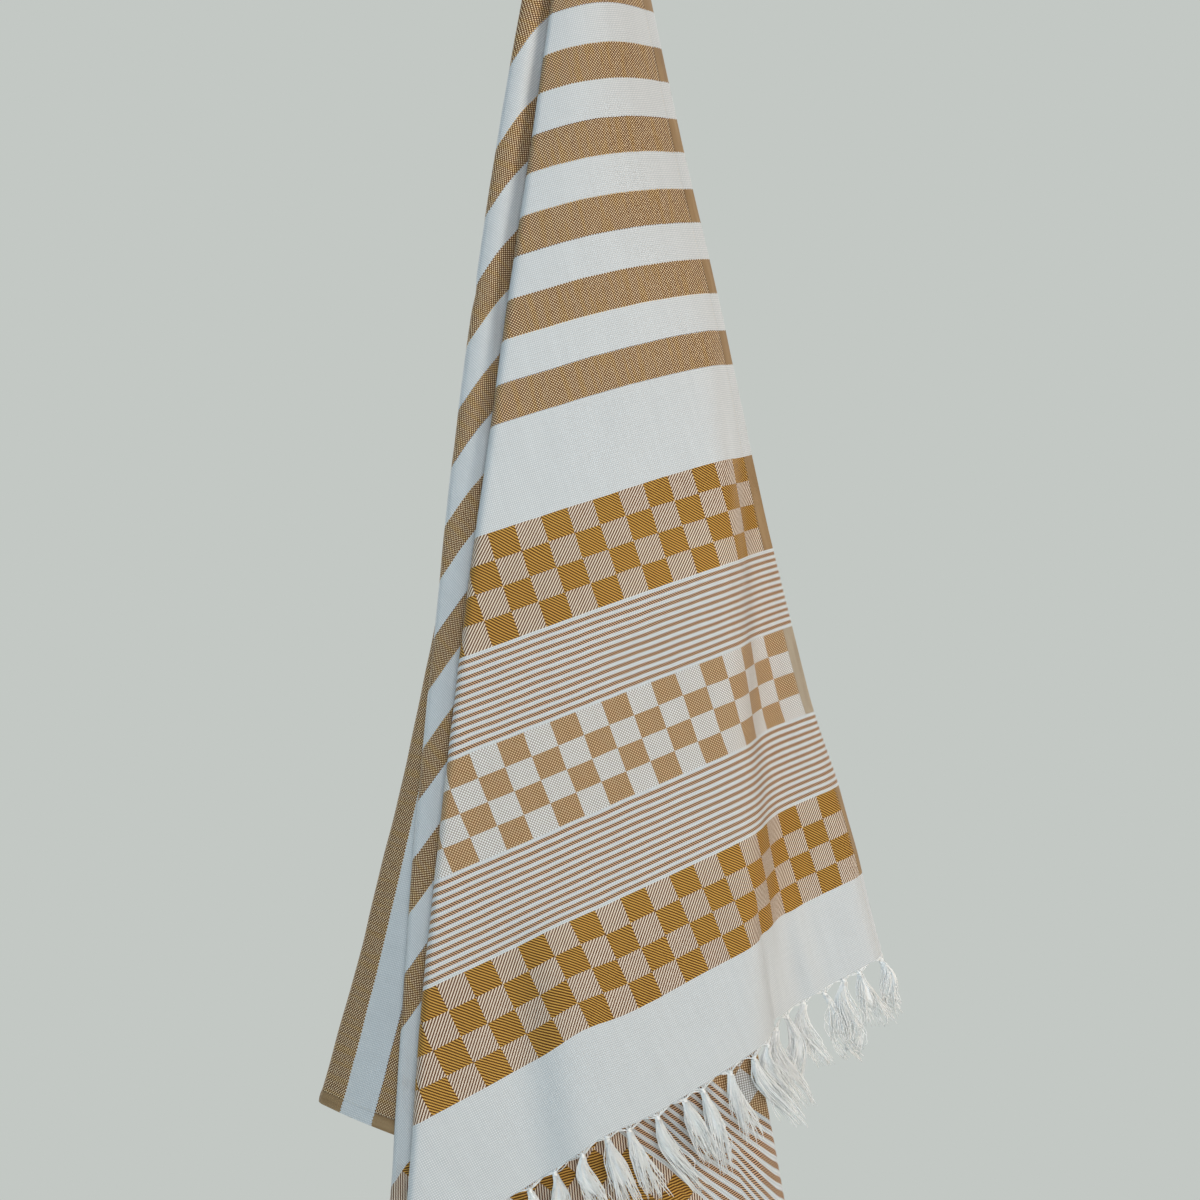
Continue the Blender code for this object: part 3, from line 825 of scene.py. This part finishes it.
class Graph:
    """Short names for building one material's nodes."""

    def __init__(self, name):
        self.material = bpy.data.materials.new(name)
        self.material.use_nodes = True
        self.tree = self.material.node_tree
        self.shader = self.tree.nodes["Principled BSDF"]

    def put(self, socket, value):
        if hasattr(value, "is_linked"):
            self.tree.links.new(value, socket)
        else:
            socket.default_value = value

    def math(self, operation, *values):
        node = self.tree.nodes.new("ShaderNodeMath")
        node.operation = operation
        for socket, value in zip(node.inputs, values):
            self.put(socket, value)
        return node.outputs[0]

    def add(self, a, b):
        return self.math("ADD", a, b)

    def sub(self, a, b):
        return self.math("SUBTRACT", a, b)

    def mul(self, a, b):
        return self.math("MULTIPLY", a, b)

    def wave(self, value, period):
        """0 to 1 sine along a measure."""
        turned = self.mul(value, 2.0 * math.pi / period)
        return self.math("MULTIPLY_ADD", self.math("SINE", turned), 0.5, 0.5)

    def between(self, value, low, high):
        above = self.math("GREATER_THAN", value, low)
        return self.mul(above, self.math("LESS_THAN", value, high))

    def either(self, a, b):
        return self.math("MAXIMUM", a, b)

    def mix(self, factor, a, b):
        node = self.tree.nodes.new("ShaderNodeMix")
        node.data_type = "RGBA"
        self.put(node.inputs[0], factor)
        self.put(node.inputs[6], a)
        self.put(node.inputs[7], b)
        return node.outputs[2]

    def blend(self, factor, a, b):
        """Number a where factor is 0, b where it is 1."""
        node = self.tree.nodes.new("ShaderNodeMix")
        node.data_type = "FLOAT"
        self.put(node.inputs[0], factor)
        self.put(node.inputs[2], a)
        self.put(node.inputs[3], b)
        return node.outputs[0]

    def noise(self, vector, scale, detail=2.0):
        node = self.tree.nodes.new("ShaderNodeTexNoise")
        node.noise_dimensions = "2D"
        node.inputs["Scale"].default_value = scale
        node.inputs["Detail"].default_value = detail
        self.put(node.inputs["Vector"], vector)
        return node.outputs[0]

    def vector(self, x, y):
        node = self.tree.nodes.new("ShaderNodeCombineXYZ")
        self.put(node.inputs[0], x)
        self.put(node.inputs[1], y)
        return node.outputs[0]

    def ramp(self, value, low, high):
        """Value mapped smoothly from low-high to 0-1."""
        node = self.tree.nodes.new("ShaderNodeMapRange")
        node.interpolation_type = "SMOOTHSTEP"
        self.put(node.inputs["Value"], value)
        node.inputs["From Min"].default_value = low
        node.inputs["From Max"].default_value = high
        return node.outputs[0]


def flat_measures(g):
    """The flat map, then distances across and along in mm, with threads that wander a little."""
    uv = g.tree.nodes.new("ShaderNodeUVMap")
    uv.uv_map = "flat"
    place = uv.outputs[0]
    split = g.tree.nodes.new("ShaderNodeSeparateXYZ")
    g.put(split.inputs[0], place)
    wander = g.noise(place, WANDER_SCALE)
    aside = g.math("MULTIPLY_ADD", wander, WANDER_ACROSS, -0.5 * WANDER_ACROSS)
    ahead = g.math("MULTIPLY_ADD", wander, WANDER_ALONG, -0.5 * WANDER_ALONG)
    u = g.add(g.mul(split.outputs[0], 1000.0), aside)
    v = g.math("ABSOLUTE", g.add(g.mul(split.outputs[1], 1000.0), ahead))
    return place, u, v


def weave_patterns(g, u, v):
    """The weaves, each 0 on the dark yarn and 1 on the light one."""
    rising = g.add(u, v)
    falling = g.sub(u, v)
    uneven = g.math("MULTIPLY_ADD", g.noise(g.vector(g.mul(u, 0.5), g.mul(v, 0.5)), 1.0), 0.9, 0.5)
    return SimpleNamespace(
        twill_one=g.wave(rising, TWILL),
        twill_two=g.wave(falling, TWILL),
        threads=g.mul(g.wave(u, THREAD), g.wave(v, THREAD)),
        dots=g.mul(g.wave(rising, BIRDSEYE), g.wave(falling, BIRDSEYE)),
        basket=g.mul(g.wave(rising, BASKET), g.wave(falling, BASKET)),
        rope=g.wave(g.add(g.mul(v, 0.8), u), ROPE),
        plain=g.mul(g.mul(g.wave(u, PLAIN_THREAD), g.wave(v, PLAIN_THREAD)), uneven),
    )


def band_masks(g, u, v):
    """Where each kind of band, cell, line and hem lies: 1 inside it, 0 outside."""
    toothed = g.math("MULTIPLY_ADD", g.wave(u, BIRDSEYE), TOOTH, STRIPE_HALF - 0.5 * TOOTH)
    stripe = g.math("LESS_THAN", g.math("PINGPONG", v, 0.5 * STRIPE_PERIOD), toothed)
    stripe = g.mul(stripe, g.math("LESS_THAN", v, LAST_STRIPE))
    mustard_one, mustard_two = (g.between(v, start, start + CHECK_ROWS * MUSTARD_ROW)
                                for start in MUSTARD_BANDS)
    light = g.between(v, LIGHT_BAND, LIGHT_BAND + CHECK_ROWS * LIGHT_ROW)
    fine_one, fine_two = (g.between(v, start, start + FINE_BAND_WIDTH) for start in FINE_BANDS)

    # Checks: a cell is odd or even by its column and its row in its band.
    cell = g.math("FLOOR", g.math("DIVIDE", g.sub(u, 1000.0 * HEM), CELL))
    row_one, row_two = (g.math("FLOOR", g.math("DIVIDE", g.sub(v, start), MUSTARD_ROW))
                        for start in MUSTARD_BANDS)
    row_light = g.math("FLOOR", g.math("DIVIDE", g.sub(v, LIGHT_BAND), LIGHT_ROW))
    row = g.add(g.mul(mustard_one, row_one), g.mul(mustard_two, row_two))
    row = g.add(row, g.mul(light, row_light))

    # Fine bands: a line fills the second half of each pitch.
    from_one, from_two = (g.math("FLOORED_MODULO", g.sub(v, start), FINE_PITCH)
                          for start in FINE_BANDS)
    in_pitch = g.blend(fine_two, from_one, from_two)
    second_half = g.math("GREATER_THAN", in_pitch, 0.5 * FINE_PITCH)

    from_edge = g.math("MINIMUM", u, g.sub(1000.0 * WIDTH, u))
    groove, thread = (g.between(from_edge, 1000.0 * HEM + near, 1000.0 * HEM + far)
                      for near, far in (HEM_GROOVE, HEM_STITCHES))
    return SimpleNamespace(
        stripe=stripe,
        mustard=g.either(mustard_one, mustard_two),
        light=light,
        odd=g.math("GREATER_THAN", g.math("FLOORED_MODULO", g.add(cell, row), 2.0), 0.5),
        line=g.mul(g.either(fine_one, fine_two), second_half),
        hem=g.math("LESS_THAN", from_edge, 1000.0 * HEM),
        groove=groove,
        stitch=g.mul(thread, g.ramp(g.wave(v, STITCH), 0.30, 0.60)),
    )


def weave_colours(g, weave, streak):
    """The colour of each kind of cloth, from its weave."""
    golden = g.ramp(streak, 0.44, 0.66)
    dark_brown = g.mix(golden, cotton(90, 54, 25), cotton(98, 63, 25))
    light_brown = g.mix(golden, cotton(224, 198, 160), cotton(218, 190, 143))
    return SimpleNamespace(
        white=g.mix(g.ramp(weave.plain, 0.0, 0.70), cotton(177, 180, 181), cotton(208, 208, 207)),
        brown=g.mix(g.ramp(weave.dots, 0.05, 0.68), dark_brown, light_brown),
        ochre=g.mix(g.ramp(g.add(weave.twill_one, g.mul(weave.threads, 0.30)), 0.25, 1.10),
                    cotton(76, 42, 8), cotton(196, 150, 70)),
        beige=g.mix(g.ramp(g.add(weave.twill_two, g.mul(weave.threads, 0.25)), 0.34, 0.86),
                    cotton(92, 56, 32), cotton(212, 197, 178)),
        tan=g.mix(g.ramp(weave.basket, 0.0, 0.60), cotton(114, 78, 42), cotton(204, 178, 140)),
        pale=g.mix(g.ramp(weave.basket, 0.0, 0.40), cotton(146, 138, 130), cotton(218, 216, 213)),
        rope=g.mix(g.ramp(weave.rope, 0.15, 0.95), cotton(58, 28, 12), cotton(196, 160, 126)),
        hem_tan=g.mix(streak, cotton(116, 88, 56), cotton(158, 132, 98)),
        hem_grey=g.mix(streak, cotton(140, 124, 104), cotton(170, 156, 136)),
    )


def weave_height(g, weave, band, slub):
    """Height of the weave, in mm."""
    height = g.mul(weave.plain, 0.10)
    height = g.blend(band.stripe, height, g.mul(weave.dots, 0.20))
    twill = g.blend(band.odd, weave.twill_one, weave.twill_two)
    height = g.blend(band.mustard, height, g.mul(twill, 0.16))
    height = g.blend(band.light, height, g.mul(weave.threads, 0.16))
    height = g.blend(band.line, height, g.add(0.05, g.mul(weave.dots, 0.14)))
    height = g.add(height, g.mul(slub, 0.10))
    return g.sub(height, g.mul(band.groove, 0.30))


def towel_material():
    """Stripes, checks and fine lines woven in white, tan and mustard cotton."""
    g = Graph("striped_cotton")
    place, u, v = flat_measures(g)
    weave = weave_patterns(g, u, v)
    band = band_masks(g, u, v)
    slub = g.noise(g.vector(g.mul(u, 0.05), g.mul(v, 1.10)), 1.0, 3.0)
    streak = g.noise(g.vector(g.mul(u, 0.20), g.mul(v, 0.020)), 1.0, 3.0)
    cloud = g.noise(place, 7.0, 3.0)

    yarn = weave_colours(g, weave, streak)
    colour = g.mix(band.stripe, yarn.white, yarn.brown)
    colour = g.mix(band.mustard, colour, g.mix(band.odd, yarn.ochre, yarn.beige))
    colour = g.mix(band.light, colour, g.mix(band.odd, yarn.tan, yarn.pale))
    colour = g.mix(band.line, colour, yarn.rope)
    coloured = g.either(band.stripe, band.mustard)
    colour = g.mix(g.mul(band.hem, coloured), colour, yarn.hem_tan)
    colour = g.mix(g.mul(band.hem, band.light), colour, yarn.hem_grey)
    colour = g.mix(g.mul(band.stitch, 0.30), colour, cotton(206, 194, 170))

    # How light the cloth is: uneven yarn, and painted shade in the groove along the hem.
    tone = g.math("MULTIPLY_ADD", slub, 0.07, 0.965)
    tone = g.mul(tone, g.math("MULTIPLY_ADD", streak, 0.08, 0.96))
    tone = g.mul(tone, g.math("MULTIPLY_ADD", cloud, 0.06, 0.97))
    # Painted shade: the groove along the hem is darkened, more on the coloured bands than on the
    # white.
    tone = g.sub(tone, g.mul(band.groove, g.math("MULTIPLY_ADD", coloured, 0.22, 0.05)))
    toned = g.tree.nodes.new("ShaderNodeVectorMath")
    toned.operation = "SCALE"
    g.put(toned.inputs[0], colour)
    g.put(toned.inputs["Scale"], tone)
    g.put(g.shader.inputs["Base Color"], toned.outputs[0])

    bump = g.tree.nodes.new("ShaderNodeBump")
    bump.inputs["Strength"].default_value = 0.6
    bump.inputs["Distance"].default_value = 0.001
    g.put(bump.inputs["Height"], weave_height(g, weave, band, slub))
    g.put(g.shader.inputs["Normal"], bump.outputs[0])
    g.put(g.shader.inputs["Roughness"], g.math("MULTIPLY_ADD", slub, 0.10, 0.82))
    g.shader.inputs["Specular IOR Level"].default_value = 0.25
    g.shader.inputs["Sheen Weight"].default_value = 0.12
    g.shader.inputs["Sheen Roughness"].default_value = 0.5
    return g.material


def tassel_material():
    """Soft white cotton yarn, each strand a slightly different shade."""
    g = Graph("tassel_cotton")
    shade = g.tree.nodes.new("ShaderNodeAttribute")
    shade.attribute_name = "shade"
    place = g.tree.nodes.new("ShaderNodeTexCoord")
    fuzz = g.tree.nodes.new("ShaderNodeTexNoise")
    fuzz.inputs["Scale"].default_value = 900.0
    g.put(fuzz.inputs["Vector"], place.outputs["Object"])
    mixed = g.math("MULTIPLY_ADD", fuzz.outputs[0], 0.4, g.mul(shade.outputs["Fac"], 0.7))
    colour = g.mix(mixed, cotton(218, 218, 213), cotton(227, 227, 225))
    g.put(g.shader.inputs["Base Color"], colour)
    bump = g.tree.nodes.new("ShaderNodeBump")
    bump.inputs["Strength"].default_value = 0.4
    bump.inputs["Distance"].default_value = 0.0004
    g.put(bump.inputs["Height"], fuzz.outputs[0])
    g.put(g.shader.inputs["Normal"], bump.outputs[0])
    g.shader.inputs["Roughness"].default_value = 0.85
    g.shader.inputs["Specular IOR Level"].default_value = 0.25
    g.shader.inputs["Sheen Weight"].default_value = 0.2
    return g.material


def add_piece(name, mesh, material, replaced):
    """Put a piece in the scene in place of its CAD node."""
    piece = bpy.data.objects.new(name, mesh)
    bpy.context.scene.collection.objects.link(piece)
    mesh.materials.append(material)
    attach(piece, "root")
    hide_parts(replaced)
    return piece


# ---------------------------------------------------------------- stage, light and camera
def room_colour():
    """The pale colour of the surroundings, as a shader takes it."""
    return (*linear(ROOM), 1.0)


def add_floor():
    """A plain pale round floor, well below the towel, that fades into the surroundings."""
    bpy.ops.mesh.primitive_circle_add(vertices=128, radius=FLOOR_RADIUS, fill_type="NGON",
                                      location=(0.0, 0.0, FLOOR_HEIGHT))
    floor = bpy.context.object
    floor.name = "floor"
    g = Graph("floor_plaster")
    place = g.tree.nodes.new("ShaderNodeTexCoord")
    grain = g.tree.nodes.new("ShaderNodeTexNoise")
    grain.inputs["Scale"].default_value = 3.0
    g.put(grain.inputs["Vector"], place.outputs["Object"])
    plaster = g.mix(grain.outputs[0], PLASTER_DARK, PLASTER_LIGHT)
    distance = g.tree.nodes.new("ShaderNodeVectorMath")
    distance.operation = "LENGTH"
    g.put(distance.inputs[0], place.outputs["Object"])
    far = g.ramp(distance.outputs["Value"], FLOOR_FADE_START, FLOOR_FADE_FULL)
    g.put(g.shader.inputs["Base Color"], g.mix(far, plaster, BLACK))
    g.put(g.shader.inputs["Emission Color"], g.mix(far, BLACK, room_colour()))
    g.shader.inputs["Emission Strength"].default_value = 1.0
    g.shader.inputs["Specular IOR Level"].default_value = 0.0
    g.shader.inputs["Roughness"].default_value = 0.9
    floor.data.materials.append(g.material)


def add_area_light(name, place, size, energy, colour):
    """A soft round lamp aimed at the middle of the towel."""
    light = bpy.data.lights.new(name, "AREA")
    light.shape = "DISK"
    light.size = size
    light.energy = energy
    light.color = colour
    lamp = bpy.data.objects.new(name, light)
    lamp.location = place
    lamp.visible_camera = False
    way = np.array(LAMP_TARGET) - np.array(place)
    lamp.rotation_euler = (math.atan2(math.hypot(way[0], way[1]), -way[2]), 0.0,
                           math.atan2(-way[0], way[1]))
    bpy.context.scene.collection.objects.link(lamp)


def add_lights():
    """Pale surroundings, cool soft light from the left and warm from the right."""
    world = bpy.data.worlds.new("pale_room")
    world.use_nodes = True
    tree = world.node_tree
    seen = tree.nodes["Background"]
    seen.inputs["Color"].default_value = room_colour()
    ambient = tree.nodes.new("ShaderNodeBackground")
    ambient.inputs["Color"].default_value = (*AMBIENT, 1.0)
    path = tree.nodes.new("ShaderNodeLightPath")
    chosen = tree.nodes.new("ShaderNodeMixShader")
    tree.links.new(path.outputs["Is Camera Ray"], chosen.inputs[0])
    tree.links.new(ambient.outputs[0], chosen.inputs[1])
    tree.links.new(seen.outputs[0], chosen.inputs[2])
    tree.links.new(chosen.outputs[0], tree.nodes["World Output"].inputs["Surface"])
    bpy.context.scene.world = world
    for row in LAMPS:
        add_area_light(*row)


def add_camera():
    """Straight view along +Y, level with the middle of the picture."""
    data = bpy.data.cameras.new("camera")
    data.lens = LENS
    data.sensor_width = SENSOR_WIDTH
    camera = bpy.data.objects.new("camera", data)
    camera.location = CAMERA_PLACE
    camera.rotation_euler = (math.radians(90.0), 0.0, 0.0)
    bpy.context.scene.collection.objects.link(camera)
    bpy.context.scene.camera = camera


def main():
    columns = cloth_columns()
    flat, points = cloth_grid(columns)
    cloth = add_piece("towel", cloth_mesh("towel", flat, points), towel_material(),
                      "towel_cloth")
    yarn = tassel_material()
    for number, (side, node) in enumerate((("front", "fringe_front"), ("back", "fringe_back"))):
        edge = end_edge(flat, points, side == "front")
        mesh = fringe_mesh("tassels_" + side, edge, SEED + number)
        add_piece("tassels_" + side, mesh, yarn, node)
    add_floor()
    add_lights()
    add_camera()
    bpy.context.scene.view_settings.view_transform = "Standard"


main()
